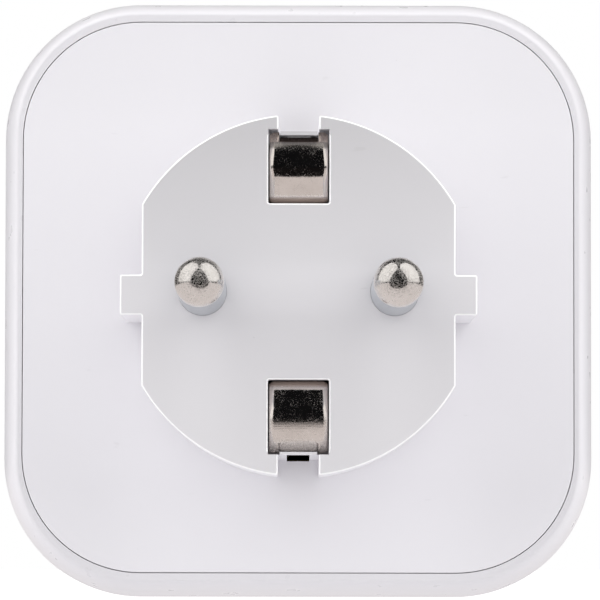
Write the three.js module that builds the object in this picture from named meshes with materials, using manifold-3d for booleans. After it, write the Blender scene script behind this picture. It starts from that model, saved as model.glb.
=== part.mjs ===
// Plug-in power meter: a rounded-square mains plug-through box with a round
// side-earth plug on the wall side and a matching socket on the front.
// Millimetres. The plug looks towards -Y, +Z is up, and the origin is the centre
// of the plug's end face.
import * as THREE from 'three';
import { mergeVertices } from 'three/addons/utils/BufferGeometryUtils.js';
import Module from 'manifold-3d';

const wasm = await Module();
wasm.setup();

// Driving dimensions -------------------------------------------------------

// Plug: end face at y = 0, standing off the rear cover by BOSS_HEIGHT
const BOSS_HEIGHT = 17;
const BOSS_RADIUS = 17.9;
const BOSS_FLAT = 15.5;
const BOSS_DROP = 0.35;
const BOSS_WALL = 1.8;
const FACE_THICKNESS = 2.4;
const RIB_REACH = 17.65;
const RIB_HALF_WIDTH = 1.98;
const NOTCH_HALF_WIDTH = 2.03;
const NOTCH_FLOOR = 15.85;
const NOTCH_DRAFT = 0.3;
const NOTCH_WALL = 1;
const SLOT_HALF_WIDTH = 1.15;
const SLOT_START = FACE_THICKNESS;
const WINDOW_HALF_WIDTH = 3.02;
const WINDOW_INNER = 8.72;
const WINDOW_OUTER = 15.5;
const WINDOW_CORNER = 16.1;
const WINDOW_DEPTH = 4.2;
const TONGUE_HALF_WIDTH = 1.85;
const PIN_SPACING = 19;
const PIN_RADIUS = 2.4;
const PIN_LENGTH = 19;

// Housing: its middle sits slightly above the plug axis
const BODY_RISE = 0.34;
const BODY_HALF_WIDTH = 30.5;
const BODY_HALF_HEIGHT = 30.77;
const BODY_CORNER = 14.2;
const BODY_DEPTH = 44;
const FRONT_Y = BOSS_HEIGHT + BODY_DEPTH;
const REAR_SWEEP_DEPTH = 10;
const REAR_SWEEP_INSET = 1.9;
const FRONT_FILLET = 4;
const WALL = 2.1;
const CAVITY_HALF_WIDTH = 27.4;
const CAVITY_HALF_HEIGHT = 27.65;
const CAVITY_CORNER = 11.4;
const TOP_Z = BODY_RISE + BODY_HALF_HEIGHT;
const TOP_WALL_INNER = TOP_Z - 2;

// Rear cover: flush in the housing's rear rim, with a hairline gap round it
const COVER_HALF = 28.1;
const COVER_CORNER = 12.0;
const COVER_THICKNESS = 2.2;
const COVER_GAP = 0.15;
const COVER_INNER_Y = BOSS_HEIGHT + COVER_THICKNESS;

// Front socket
const RECESS_RADIUS = 19.5;
const RECESS_DEPTH = 17.5;
const CUP_OUTER = 21;
const CUP_FLANGE = 23.2;
const CUP_FLOOR = 3.2;
const CUP_FLOOR_Y = FRONT_Y - RECESS_DEPTH;
const CUP_BACK_Y = CUP_FLOOR_Y - CUP_FLOOR;
const SOCKET_HOLE = 3.1;

// Shutter behind the socket floor, sliding down to clear the pin holes
const SHUTTER_TRAVEL = 6;
const SHUTTER_HALF_WIDTH = 12.9;
const SHUTTER_THICKNESS = 2.4;
const SHUTTER_Y = CUP_BACK_Y - 0.5 - SHUTTER_THICKNESS;
const TRAY_DEPTH = 5.1;
const TRAY_Y = CUP_BACK_Y - 0.2 - TRAY_DEPTH;
const SPRING_RADIUS = 1.3;
const SPRING_WIRE = 0.22;
const SPRING_FOOT_Z = -14;
const SPRING_HEAD_Z = -3.9;

// Boards and metalwork
const STRIP = 0.6;
const BOARD_Y = 21.4;
const BOARD_THICKNESS = 1.6;
const BOARD_TOP_Y = BOARD_Y + BOARD_THICKNESS;
const CONTACT_Y = BOARD_TOP_Y + 0.6;
const CUP_SCREW = { x: 10.5, z: 13.3 };
const BOARD_SCREW = { x: 23.2, z: 8 };

// Display and keys in the top wall
const LENS = { halfWidth: 13.5, y0: 29.2, y1: 44.2, thickness: 0.85 };
const KEY_Y = 50.5;
const KEY_SPACING = 9;
const KEY_RADIUS = 2.9;
const KEY_TRAVEL = 0.5;
const DISPLAY_BOARD_Z = 23.84;
const DISPLAY_BOARD_THICKNESS = 1.2;

// Materials ----------------------------------------------------------------

const FINISHES = {
  whiteShell: [0xf1f1f4, 0.28, 0],
  whiteCover: [0xeeeef2, 0.34, 0],
  innerPlastic: [0xd9dadc, 0.5, 0],
  nickel: [0xc9c3bc, 0.2, 1],
  brass: [0xc9a95c, 0.35, 1],
  steel: [0xa9abae, 0.35, 1],
  board: [0x2f6b46, 0.6, 0],
  black: [0x1d1d20, 0.55, 0],
  capBox: [0xd8b23c, 0.55, 0],
  capCan: [0x2a3550, 0.4, 0],
  blueDisc: [0x2d5f9e, 0.5, 0],
  lens: [0xc9ced0, 0.08, 0],
  lcd: [0x9aa596, 0.2, 0],
  rubber: [0x3a3a3d, 0.9, 0],
  keyGrey: [0xb9bbc0, 0.45, 0],
  shunt: [0x9a7d62, 0.45, 1],
};

function finish(name) {
  const [color, roughness, metalness] = FINISHES[name];
  return new THREE.MeshStandardMaterial({ color, roughness, metalness });
}

// Geometry helpers ---------------------------------------------------------

function solidOf(geometry) {
  const bare = geometry.clone();
  bare.deleteAttribute('normal');
  bare.deleteAttribute('uv');
  const welded = mergeVertices(bare, 1e-5);
  const mesh = new wasm.Mesh({
    numProp: 3,
    vertProperties: new Float32Array(welded.attributes.position.array),
    triVerts: new Uint32Array(welded.index.array),
  });
  return new wasm.Manifold(mesh);
}

function geometryOf(solid) {
  const mesh = solid.getMesh();
  const geometry = new THREE.BufferGeometry();
  geometry.setAttribute('position', new THREE.BufferAttribute(mesh.vertProperties, 3));
  geometry.setIndex(new THREE.BufferAttribute(mesh.triVerts, 1));
  geometry.computeVertexNormals();
  return geometry;
}

// Joins the solids in `add` and takes away those in `cut`.
function combine(add, cut = []) {
  let solid = solidOf(add[0]);
  for (const geometry of add.slice(1)) {
    solid = solid.add(solidOf(geometry));
  }
  for (const geometry of cut) {
    solid = solid.subtract(solidOf(geometry));
  }
  return geometryOf(solid);
}

function common(a, b) {
  return geometryOf(solidOf(a).intersect(solidOf(b)));
}

function box(x0, x1, y0, y1, z0, z1) {
  const geometry = new THREE.BoxGeometry(x1 - x0, y1 - y0, z1 - z0);
  return geometry.translate((x0 + x1) / 2, (y0 + y1) / 2, (z0 + z1) / 2);
}

// Outline given as [x, z] points, extruded from y0 to y1.
function prismY(points, y0, y1) {
  const shape = new THREE.Shape(points.map(([x, z]) => new THREE.Vector2(x, z)));
  const geometry = new THREE.ExtrudeGeometry(shape, { depth: y1 - y0, bevelEnabled: false });
  return geometry.rotateX(Math.PI / 2).translate(0, y1, 0);
}

// Outline given as [y, z] points, extruded from x0 to x1.
function prismX(points, x0, x1) {
  const shape = new THREE.Shape(points.map(([y, z]) => new THREE.Vector2(y, z)));
  const geometry = new THREE.ExtrudeGeometry(shape, { depth: x1 - x0, bevelEnabled: false });
  return geometry.rotateX(Math.PI / 2).rotateZ(Math.PI / 2).translate(x0, 0, 0);
}

// Outline given as [x, y] points, extruded from z0 to z1.
function prismZ(points, z0, z1) {
  const shape = new THREE.Shape(points.map(([x, y]) => new THREE.Vector2(x, y)));
  const geometry = new THREE.ExtrudeGeometry(shape, { depth: z1 - z0, bevelEnabled: false });
  return geometry.translate(0, 0, z0);
}

function cylinderY(x, z, radius, y0, y1, sides = 24) {
  const geometry = new THREE.CylinderGeometry(radius, radius, y1 - y0, sides);
  return geometry.translate(x, (y0 + y1) / 2, z);
}

function cylinderZ(x, y, radius, z0, z1, sides = 24) {
  const geometry = new THREE.CylinderGeometry(radius, radius, z1 - z0, sides);
  return geometry.rotateX(Math.PI / 2).translate(x, y, (z0 + z1) / 2);
}

// Revolves a closed or axis-to-axis [radius, y] profile about a line along Y.
function turned(profile, sides) {
  const points = profile.map(([radius, y]) => new THREE.Vector2(radius, y));
  return new THREE.LatheGeometry(points, sides);
}

// Points round a rectangle with rounded corners, centred on (0, cz).
function roundedRect(halfWidth, halfHeight, radius, cz = 0, steps = 8) {
  const corners = [
    [halfWidth - radius, halfHeight - radius, 0],
    [radius - halfWidth, halfHeight - radius, 90],
    [radius - halfWidth, radius - halfHeight, 180],
    [halfWidth - radius, radius - halfHeight, 270],
  ];
  const points = [];
  for (const [x, z, start] of corners) {
    for (let i = 0; i <= steps; i += 1) {
      const angle = THREE.MathUtils.degToRad(start + (90 * i) / steps);
      points.push([x + radius * Math.cos(angle), cz + z + radius * Math.sin(angle)]);
    }
  }
  return points;
}

// Closed skin through sections of equal point count, each { y, points }.
function loftY(sections) {
  const count = sections[0].points.length;
  const positions = [];
  for (const { y, points } of sections) {
    for (const [x, z] of points) {
      positions.push(x, y, z);
    }
  }
  const index = [];
  for (let s = 0; s < sections.length - 1; s += 1) {
    for (let i = 0; i < count; i += 1) {
      const a = s * count + i;
      const b = s * count + ((i + 1) % count);
      index.push(a, a + count, b, b, a + count, b + count);
    }
  }
  const last = (sections.length - 1) * count;
  for (let i = 1; i < count - 1; i += 1) {
    index.push(0, i, i + 1);
    index.push(last, last + i + 1, last + i);
  }
  const geometry = new THREE.BufferGeometry();
  geometry.setAttribute('position', new THREE.Float32BufferAttribute(positions, 3));
  geometry.setIndex(index);
  return geometry;
}

// A strip of even thickness along a centre line of [a, b] points, as an outline.
function stripOutline(line, thickness) {
  const left = [];
  const right = [];
  for (let i = 0; i < line.length; i += 1) {
    const before = line[Math.max(i - 1, 0)];
    const after = line[Math.min(i + 1, line.length - 1)];
    const along = new THREE.Vector2(after[0] - before[0], after[1] - before[1]).normalize();
    const reach = thickness / 2;
    left.push([line[i][0] - along.y * reach, line[i][1] + along.x * reach]);
    right.push([line[i][0] + along.y * reach, line[i][1] - along.x * reach]);
  }
  return left.concat(right.reverse());
}

function mirrorZ(geometry) {
  const mirrored = geometry.clone().scale(1, 1, -1);
  const index = mirrored.index.array;
  for (let i = 0; i < index.length; i += 3) {
    [index[i], index[i + 1]] = [index[i + 1], index[i]];
  }
  mirrored.computeVertexNormals();
  return mirrored;
}

const group = new THREE.Group();
group.name = 'plug_in_power_meter';

function place(name, finishName, geometry, parent = group) {
  const mesh = new THREE.Mesh(geometry, finish(finishName));
  mesh.name = name;
  parent.add(mesh);
  return mesh;
}

// Housing ------------------------------------------------------------------

function bodySection(y, inset) {
  const points = roundedRect(
    BODY_HALF_WIDTH - inset,
    BODY_HALF_HEIGHT - inset,
    BODY_CORNER - inset,
    BODY_RISE,
  );
  return { y, points };
}

function housingShell() {
  const sections = [];
  const sweepSteps = 6;
  for (let i = 0; i <= sweepSteps; i += 1) {
    const angle = (Math.PI / 2) * (i / sweepSteps);
    const y = BOSS_HEIGHT + REAR_SWEEP_DEPTH * (1 - Math.cos(angle));
    sections.push(bodySection(y, REAR_SWEEP_INSET * (1 - Math.sin(angle))));
  }
  const filletSteps = 5;
  for (let i = 0; i <= filletSteps; i += 1) {
    const angle = (Math.PI / 2) * (i / filletSteps);
    const y = FRONT_Y - FRONT_FILLET * (1 - Math.sin(angle));
    sections.push(bodySection(y, FRONT_FILLET * (1 - Math.cos(angle))));
  }
  const rebate = roundedRect(
    COVER_HALF + COVER_GAP,
    COVER_HALF + COVER_GAP,
    COVER_CORNER + COVER_GAP,
    BODY_RISE,
  );
  const cavity = roundedRect(CAVITY_HALF_WIDTH, CAVITY_HALF_HEIGHT, CAVITY_CORNER, BODY_RISE);
  const cuts = [
    prismY(rebate, BOSS_HEIGHT - 1, COVER_INNER_Y + 0.3),
    prismY(cavity, BOSS_HEIGHT, FRONT_Y - WALL),
    cylinderY(0, 0, CUP_OUTER + 0.3, FRONT_Y - 5, FRONT_Y + 1, 64),
    cylinderY(0, 0, CUP_FLANGE + 0.25, FRONT_Y - 1.2, FRONT_Y + 1, 64),
    box(-16.2, 16.2, 26.8, FRONT_Y - FRONT_FILLET, 20, TOP_WALL_INNER),
    lensCut(),
    box(-LENS.halfWidth + 1.2, LENS.halfWidth - 1.2, LENS.y0 + 1.2, LENS.y1 - 1.2, 25, 33),
  ];
  for (const x of [-KEY_SPACING, 0, KEY_SPACING]) {
    cuts.push(cylinderZ(x, KEY_Y, KEY_RADIUS + 0.25, 25, 33, 28));
  }
  return combine([loftY(sections)], cuts);
}

function lensOutline(gap) {
  const halfDepth = (LENS.y1 - LENS.y0) / 2;
  const middle = (LENS.y1 + LENS.y0) / 2;
  return roundedRect(LENS.halfWidth + gap, halfDepth + gap, 1.6 + gap, middle, 4);
}

function lensCut() {
  return prismZ(lensOutline(0.2), TOP_Z - LENS.thickness - 0.3, TOP_Z + 1);
}

place('housing_shell', 'whiteShell', housingShell());

// Rear cover with the plug boss --------------------------------------------

function arcPoints(radius, from, to, steps) {
  const points = [];
  for (let i = 0; i <= steps; i += 1) {
    const angle = from + ((to - from) * i) / steps;
    points.push([radius * Math.cos(angle), radius * Math.sin(angle)]);
  }
  return points;
}

// Boss outline: a circle with two flats, a rib at each side and a notch at the
// top and bottom, set slightly below the plug's axis. The notches are cut a
// little deep for their sloping floors.
function bossOutline() {
  const flatAngle = Math.acos(BOSS_FLAT / BOSS_RADIUS);
  const notchAngle = Math.acos(NOTCH_HALF_WIDTH / BOSS_RADIUS);
  const quarter = arcPoints(BOSS_RADIUS, flatAngle, notchAngle, 10);
  const notchDepth = NOTCH_FLOOR - NOTCH_WALL / 2;
  const upper = [
    [RIB_REACH, RIB_HALF_WIDTH],
    [BOSS_FLAT, RIB_HALF_WIDTH],
    ...quarter,
    [NOTCH_HALF_WIDTH, notchDepth],
    [-NOTCH_HALF_WIDTH, notchDepth],
    ...quarter.map(([x, z]) => [-x, z]).reverse(),
    [-BOSS_FLAT, RIB_HALF_WIDTH],
    [-RIB_REACH, RIB_HALF_WIDTH],
  ];
  const lower = upper.map(([x, z]) => [-x, -z]);
  return [...upper, ...lower].map(([x, z]) => [x, z - BOSS_DROP]);
}

// Wall under a notch, whose floor rises by the draft towards the cover.
function notchFloor() {
  const end = BOSS_HEIGHT + 0.5;
  const outline = [
    [0, NOTCH_FLOOR - NOTCH_WALL],
    [end, NOTCH_FLOOR - NOTCH_WALL],
    [end, NOTCH_FLOOR + (NOTCH_DRAFT * end) / BOSS_HEIGHT],
    [0, NOTCH_FLOOR],
  ];
  return combine([prismX(outline, -NOTCH_HALF_WIDTH - 0.1, NOTCH_HALF_WIDTH + 0.1)]);
}

// Cuts for the upper window: the opening, and a corner on each side of the
// tongue that the notch's floor ends in.
function windowCuts() {
  const half = WINDOW_HALF_WIDTH;
  return [
    box(-half, half, -1, WINDOW_DEPTH, WINDOW_INNER, WINDOW_OUTER),
    box(-half, -TONGUE_HALF_WIDTH, -1, WINDOW_DEPTH, WINDOW_OUTER - 0.1, WINDOW_CORNER),
    box(TONGUE_HALF_WIDTH, half, -1, WINDOW_DEPTH, WINDOW_OUTER - 0.1, WINDOW_CORNER),
  ];
}

function bossHollow() {
  const radius = BOSS_RADIUS - BOSS_WALL;
  const flat = BOSS_FLAT - BOSS_WALL;
  const wallInner = NOTCH_FLOOR - NOTCH_WALL;
  const gapHalf = NOTCH_HALF_WIDTH + 1.1;
  const flatAngle = Math.acos(flat / radius);
  const gapAngle = Math.acos(gapHalf / radius);
  const quarter = arcPoints(radius, flatAngle, gapAngle, 8);
  const half = [...quarter, [gapHalf, wallInner], [-gapHalf, wallInner]];
  const left = quarter.map(([x, z]) => [-x, z]).reverse();
  const upper = [...half, ...left];
  return [...upper, ...upper.map(([x, z]) => [-x, -z])];
}

function rearCover() {
  const plate = roundedRect(COVER_HALF, COVER_HALF, COVER_CORNER, BODY_RISE);
  const floor = notchFloor();
  const slot = box(
    -SLOT_HALF_WIDTH,
    SLOT_HALF_WIDTH,
    SLOT_START,
    COVER_INNER_Y + 1,
    NOTCH_FLOOR - NOTCH_WALL - 1,
    NOTCH_FLOOR + NOTCH_DRAFT + 0.1,
  );
  const add = [
    prismY(plate, BOSS_HEIGHT, COVER_INNER_Y),
    prismY(bossOutline(), 0, BOSS_HEIGHT + 0.5),
    floor,
    mirrorZ(floor),
  ];
  const cut = [
    prismY(bossHollow(), FACE_THICKNESS, COVER_INNER_Y + 1),
    ...windowCuts(),
    ...windowCuts().map(mirrorZ),
    slot,
    mirrorZ(slot),
  ];
  for (const side of [-1, 1]) {
    const cupX = side * CUP_SCREW.x;
    const cupZ = -side * CUP_SCREW.z;
    const boardX = side * BOARD_SCREW.x;
    const boardZ = side * BOARD_SCREW.z;
    const pinX = (side * PIN_SPACING) / 2;
    add.push(cylinderY(cupX, cupZ, 2.4, COVER_INNER_Y - 0.5, CUP_BACK_Y - 0.3));
    cut.push(cylinderY(cupX, cupZ, 1.6, 22, CUP_BACK_Y + 1, 20));
    add.push(cylinderY(boardX, boardZ, 2.2, COVER_INNER_Y - 0.5, BOARD_Y - 0.25));
    cut.push(cylinderY(boardX, boardZ, 1.1, 18.5, BOARD_Y + 1, 16));
    cut.push(cylinderY(pinX, 0, PIN_RADIUS + 0.12, -1, FACE_THICKNESS + 1, 28));
  }
  return combine(add, cut);
}

place('rear_cover', 'whiteCover', rearCover());

// Plug pins and their carrier ----------------------------------------------

function plugPin() {
  const tipSteps = 8;
  const profile = [];
  for (let i = 0; i <= tipSteps; i += 1) {
    const angle = (Math.PI / 2) * (i / tipSteps);
    const y = -PIN_LENGTH + PIN_RADIUS * (1 - Math.cos(angle));
    profile.push([i === 0 ? 0 : PIN_RADIUS * Math.sin(angle), y]);
  }
  profile.push(
    [PIN_RADIUS, FACE_THICKNESS + 0.3],
    [3.3, FACE_THICKNESS + 0.3],
    [3.3, FACE_THICKNESS + 2.1],
    [1.8, FACE_THICKNESS + 2.1],
    [1.8, 12.4],
    [0, 12.4],
  );
  return turned(profile, 28);
}

for (const [name, side] of [['line_pin', -1], ['neutral_pin', 1]]) {
  const pin = place(name, 'nickel', plugPin());
  pin.position.x = (side * PIN_SPACING) / 2;
}

function pinCarrier() {
  const holes = [-1, 1].map((side) => cylinderY((side * PIN_SPACING) / 2, 0, 1.95, 4, 12, 20));
  const plate = prismY(roundedRect(13, 5.4, 2, 0, 3), 4.9, 9.2);
  const spine = box(-2.2, 2.2, 4.9, 9.2, -8, 8);
  return combine([plate, spine], holes);
}

place('pin_carrier', 'innerPlastic', pinCarrier());

// Earth clips: bent strips that show in the plug's windows -----------------

// Centre lines are [y, z] arcs: a lip at the inner end, a straight slope, the
// dome, then a narrow neck that bends back under the notch's floor. An ear on
// each side of the neck carries the dome on into the window's corner.
const CLIP_HALF_WIDTH = 2.9;
const CLIP_NECK = 1.9;
const CLIP_EAR = 1.95;
const CLIP_TAIL_Z = 14.4;
const CLIP_TAIL_END = 24.5;
const CLIP_DOME = { y: 4.13, z: 12.64, radius: 3.78 };
const CLIP_LIP = { y: 1.878, z: 9.72, radius: 0.6 };
const CLIP_BEND = { y: 1.427, z: 14.752, radius: 0.35 };
const CLIP_SLOPE = -22;
const CLIP_NECK_ANGLE = 38;
const CLIP_EAR_ANGLE = 53;

function arcLine({ y, z, radius }, from, to, steps) {
  const points = [];
  for (let i = 0; i <= steps; i += 1) {
    const angle = THREE.MathUtils.degToRad(from + ((to - from) * i) / steps);
    points.push([y - radius * Math.cos(angle), z + radius * Math.sin(angle)]);
  }
  return points;
}

function earthClip() {
  const frontLine = [
    [4.4, CLIP_LIP.z - CLIP_LIP.radius],
    ...arcLine(CLIP_LIP, -90, CLIP_SLOPE, 3),
    ...arcLine(CLIP_DOME, CLIP_SLOPE, CLIP_EAR_ANGLE, 15),
  ];
  const neckLine = [
    ...arcLine(CLIP_DOME, CLIP_NECK_ANGLE - 15, CLIP_NECK_ANGLE, 3),
    ...arcLine(CLIP_BEND, CLIP_NECK_ANGLE, 120, 5).slice(1),
    [2.4, 14.6],
    [3, CLIP_TAIL_Z],
    [CLIP_TAIL_END, CLIP_TAIL_Z],
  ];
  const front = prismX(stripOutline(frontLine, STRIP), -CLIP_HALF_WIDTH, CLIP_HALF_WIDTH);
  const neck = prismX(stripOutline(neckLine, STRIP), -CLIP_NECK, CLIP_NECK);
  const gapZ = CLIP_DOME.z + CLIP_DOME.radius * Math.sin(THREE.MathUtils.degToRad(CLIP_NECK_ANGLE));
  const eared = combine([front], [box(-CLIP_EAR, CLIP_EAR, 0, 4, gapZ, 17)]);
  return combine([eared, neck]);
}

const clip = earthClip();
place('earth_clip_upper', 'nickel', clip);
place('earth_clip_lower', 'nickel', mirrorZ(clip));

function earthStrap() {
  const reach = CLIP_TAIL_Z - STRIP / 2 - 0.25;
  const bar = box(-2, 2, 17.4, 18.1, -reach, reach);
  const hole = cylinderY(0, 0, 1.2, 17, 19, 16);
  return combine([bar], [hole]);
}

place('earth_strap', 'nickel', earthStrap());

// Front socket ---------------------------------------------------------------

function socketCup() {
  const shell = turned([
    [0, CUP_BACK_Y],
    [CUP_OUTER, CUP_BACK_Y],
    [CUP_OUTER, FRONT_Y - 1.0],
    [CUP_FLANGE, FRONT_Y - 1.0],
    [CUP_FLANGE, FRONT_Y - 0.1],
    [CUP_FLANGE - 0.6, FRONT_Y + 0.3],
    [RECESS_RADIUS + 0.7, FRONT_Y + 0.3],
    [RECESS_RADIUS, FRONT_Y - 0.6],
    [RECESS_RADIUS, CUP_FLOOR_Y],
    [0, CUP_FLOOR_Y],
  ], 64);
  const add = [shell];
  const cut = [];
  for (const side of [-1, 1]) {
    const x = (side * PIN_SPACING) / 2;
    const rib = [side * 17.9, side * (RECESS_RADIUS + 0.7)].sort((a, b) => a - b);
    add.push(box(...rib, CUP_FLOOR_Y - 1, FRONT_Y - 2.5, -2, 2));
    cut.push(cylinderY(x, 0, SOCKET_HOLE, CUP_BACK_Y - 1, CUP_FLOOR_Y + 1, 24));
    const funnel = new THREE.CylinderGeometry(SOCKET_HOLE + 0.9, SOCKET_HOLE, 0.9, 24);
    cut.push(funnel.translate(x, CUP_FLOOR_Y - 0.4, 0));
    const slot = [side * 17.2, side * 19.35].sort((a, b) => a - b);
    cut.push(box(-2.9, 2.9, CUP_BACK_Y - 1, CUP_FLOOR_Y + 1, ...slot));
    const sx = side * CUP_SCREW.x;
    const sz = -side * CUP_SCREW.z;
    cut.push(cylinderY(sx, sz, 1.75, CUP_BACK_Y - 1, CUP_FLOOR_Y + 1, 20));
    cut.push(cylinderY(sx, sz, 2.35, CUP_FLOOR_Y - 1.9, CUP_FLOOR_Y + 1, 20));
  }
  return combine(add, cut);
}

place('socket_cup', 'whiteCover', socketCup());

function cupScrew() {
  const body = turned([
    [0, 27],
    [0.6, 27],
    [1.45, 28.2],
    [1.45, CUP_FLOOR_Y - 1.75],
    [2.15, CUP_FLOOR_Y - 1.75],
    [2.15, CUP_FLOOR_Y - 0.5],
    [1.8, CUP_FLOOR_Y - 0.3],
    [0, CUP_FLOOR_Y - 0.3],
  ], 20);
  const slots = [
    box(-1.3, 1.3, CUP_FLOOR_Y - 1.1, CUP_FLOOR_Y, -0.25, 0.25),
    box(-0.25, 0.25, CUP_FLOOR_Y - 1.1, CUP_FLOOR_Y, -1.3, 1.3),
  ];
  return combine([body], slots);
}

for (const [name, side] of [['cup_screw_upper', -1], ['cup_screw_lower', 1]]) {
  const screw = place(name, 'steel', cupScrew());
  screw.position.set(side * CUP_SCREW.x, 0, -side * CUP_SCREW.z);
}

// Sprung side contact for the plug that goes into the socket.
const SOCKET_EARTH_LINE = [
  [19.9, 15.4],
  [30, 15.4],
  [34.5, 18.3],
  [46, 18.5],
  [50, 17.9],
  [53, 17.1],
  [55, 17.4],
  [57, 18.3],
];

function socketEarth() {
  return prismX(stripOutline(SOCKET_EARTH_LINE, STRIP), -2.5, 2.5);
}

const earthSpring = combine([socketEarth()]);
place('socket_earth_upper', 'nickel', earthSpring);
place('socket_earth_lower', 'nickel', mirrorZ(earthSpring));

// Shutter, its tray and its return spring ------------------------------------

function shutterPlate() {
  const y1 = SHUTTER_Y + SHUTTER_THICKNESS;
  const plate = box(-SHUTTER_HALF_WIDTH, SHUTTER_HALF_WIDTH, SHUTTER_Y, y1, -3.6, 9.8);
  const cut = [];
  for (const side of [-1, 1]) {
    const x = (side * PIN_SPACING) / 2;
    cut.push(cylinderY(x, SHUTTER_TRAVEL, SOCKET_HOLE + 0.15, SHUTTER_Y - 1, y1 + 1, 24));
    const ramp = prismX([
      [y1 + 0.5, -3],
      [y1 - 1.2, 3],
      [y1 + 0.5, 3],
    ], x - 2.6, x + 2.6);
    cut.push(ramp);
  }
  return combine([plate], cut);
}

place('shutter', 'innerPlastic', shutterPlate());

function shutterTray() {
  const y1 = TRAY_Y + TRAY_DEPTH;
  const add = [
    box(-13.6, 13.6, TRAY_Y, y1, -10.5, 10.45),
    box(-3, 3, TRAY_Y, y1, -14.9, -10),
  ];
  const cut = [
    box(-13.15, 13.15, SHUTTER_Y - 0.3, y1 + 1, -9.9, 10.1),
    box(-2.1, 2.1, SHUTTER_Y - 0.7, y1 + 1, SPRING_FOOT_Z - 0.3, -3.6),
  ];
  for (const side of [-1, 1]) {
    cut.push(cylinderY((side * PIN_SPACING) / 2, 0, SOCKET_HOLE + 0.1, TRAY_Y - 1, y1, 24));
  }
  return combine(add, cut);
}

place('shutter_tray', 'innerPlastic', shutterTray());

class Helix extends THREE.Curve {
  constructor(radius, z0, z1, turns) {
    super();
    this.radius = radius;
    this.z0 = z0;
    this.z1 = z1;
    this.turns = turns;
  }

  getPoint(t, target = new THREE.Vector3()) {
    const angle = t * this.turns * Math.PI * 2;
    const z = this.z0 + (this.z1 - this.z0) * t;
    return target.set(this.radius * Math.cos(angle), this.radius * Math.sin(angle), z);
  }
}

function shutterSpring() {
  const wire = new THREE.Shape();
  wire.absarc(0, 0, SPRING_WIRE, 0, Math.PI * 2);
  const path = new Helix(SPRING_RADIUS, SPRING_FOOT_Z + 0.3, SPRING_HEAD_Z - 0.3, 6);
  return new THREE.ExtrudeGeometry(wire, { steps: 72, curveSegments: 3, extrudePath: path });
}

const spring = place('shutter_spring', 'steel', shutterSpring());
spring.position.y = SHUTTER_Y + SHUTTER_THICKNESS / 2;

// Current path: contacts, busbars and shunt ----------------------------------

function pinContact() {
  const inner = PIN_RADIUS - 0.05;
  const outer = inner + STRIP;
  const top = TRAY_Y - 0.5;
  const outline = [
    [-outer, CONTACT_Y],
    [outer, CONTACT_Y],
    [outer, top - 3.2],
    [outer - 0.25, top - 2.2],
    [outer + 0.9, top],
    [outer + 0.3, top],
    [inner - 0.35, top - 2.2],
    [inner, top - 3.2],
    [inner, CONTACT_Y + STRIP],
    [-inner, CONTACT_Y + STRIP],
    [-inner, top - 3.2],
    [0.35 - inner, top - 2.2],
    [-outer - 0.3, top],
    [-outer - 0.9, top],
    [0.25 - outer, top - 2.2],
    [-outer, top - 3.2],
  ];
  return combine([prismZ(outline, -2.5, 2.5)]);
}

for (const [name, side] of [['line_contact', -1], ['neutral_contact', 1]]) {
  const contact = place(name, 'brass', pinContact());
  contact.position.x = (side * PIN_SPACING) / 2;
}

// Strap from a plug pin's inner end up to the contact above it.
function busbar(top) {
  const line = [
    [-2.2, 12.95],
    [2.9, 12.95],
    [3.4, 13.4],
    [3.4, top - 0.5],
    [2.9, top],
    [-2.2, top],
  ];
  return combine([prismZ(stripOutline(line, STRIP), -2.4, 2.4)]);
}

const neutralBar = place('neutral_busbar', 'brass', busbar(CONTACT_Y - 0.6));
neutralBar.position.x = PIN_SPACING / 2;
const lineBar = place('line_busbar', 'brass', busbar(CONTACT_Y - 4.1).scale(-1, 1, 1));
lineBar.geometry.index.array.reverse();
lineBar.geometry.computeVertexNormals();
lineBar.position.x = -PIN_SPACING / 2;

function shunt() {
  const bar = box(-11.6, -7.2, CONTACT_Y - 3.5, CONTACT_Y - 0.25, -1.8, 1.8);
  const neck = box(-10.4, -8.4, CONTACT_Y - 2.7, CONTACT_Y - 1.1, -3, 3);
  return combine([bar], [neck]);
}

place('shunt_resistor', 'shunt', shunt());

// Main board and its components ------------------------------------------------

function mainBoard() {
  const outline = roundedRect(26.6, 26.8, 11, BODY_RISE, 5);
  const cut = [
    box(-14.6, 14.6, BOARD_Y - 1, BOARD_TOP_Y + 1, -6, 6),
    box(-3.4, 3.4, BOARD_Y - 1, BOARD_TOP_Y + 1, -16.6, 16.6),
  ];
  const through = [BOARD_Y - 1, BOARD_TOP_Y + 1];
  for (const side of [-1, 1]) {
    cut.push(cylinderY(side * CUP_SCREW.x, -side * CUP_SCREW.z, 2.8, ...through, 20));
    cut.push(cylinderY(side * BOARD_SCREW.x, side * BOARD_SCREW.z, 1.3, ...through, 16));
  }
  return combine([prismY(outline, BOARD_Y, BOARD_TOP_Y)], cut);
}

place('main_board', 'board', mainBoard());

function boardScrew() {
  return turned([
    [0, 19.3],
    [0.95, 19.3],
    [0.95, BOARD_TOP_Y + 0.15],
    [1.9, BOARD_TOP_Y + 0.15],
    [1.9, BOARD_TOP_Y + 0.9],
    [1.3, BOARD_TOP_Y + 1.3],
    [0, BOARD_TOP_Y + 1.3],
  ], 16);
}

for (const [name, side] of [['board_screw_left', -1], ['board_screw_right', 1]]) {
  const screw = place(name, 'steel', boardScrew());
  screw.position.set(side * BOARD_SCREW.x, 0, side * BOARD_SCREW.z);
}

const PART_Y = BOARD_TOP_Y + 0.3;

function chip() {
  const add = [box(-23.6, -19.6, PART_Y + 0.2, PART_Y + 1.7, -2.5, 3.5)];
  for (let i = 0; i < 5; i += 1) {
    const z = -1.7 + i * 1.1;
    add.push(box(-24.6, -18.6, PART_Y, PART_Y + 0.7, z, z + 0.45));
  }
  return combine(add);
}

place('metering_chip', 'black', chip());

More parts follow.
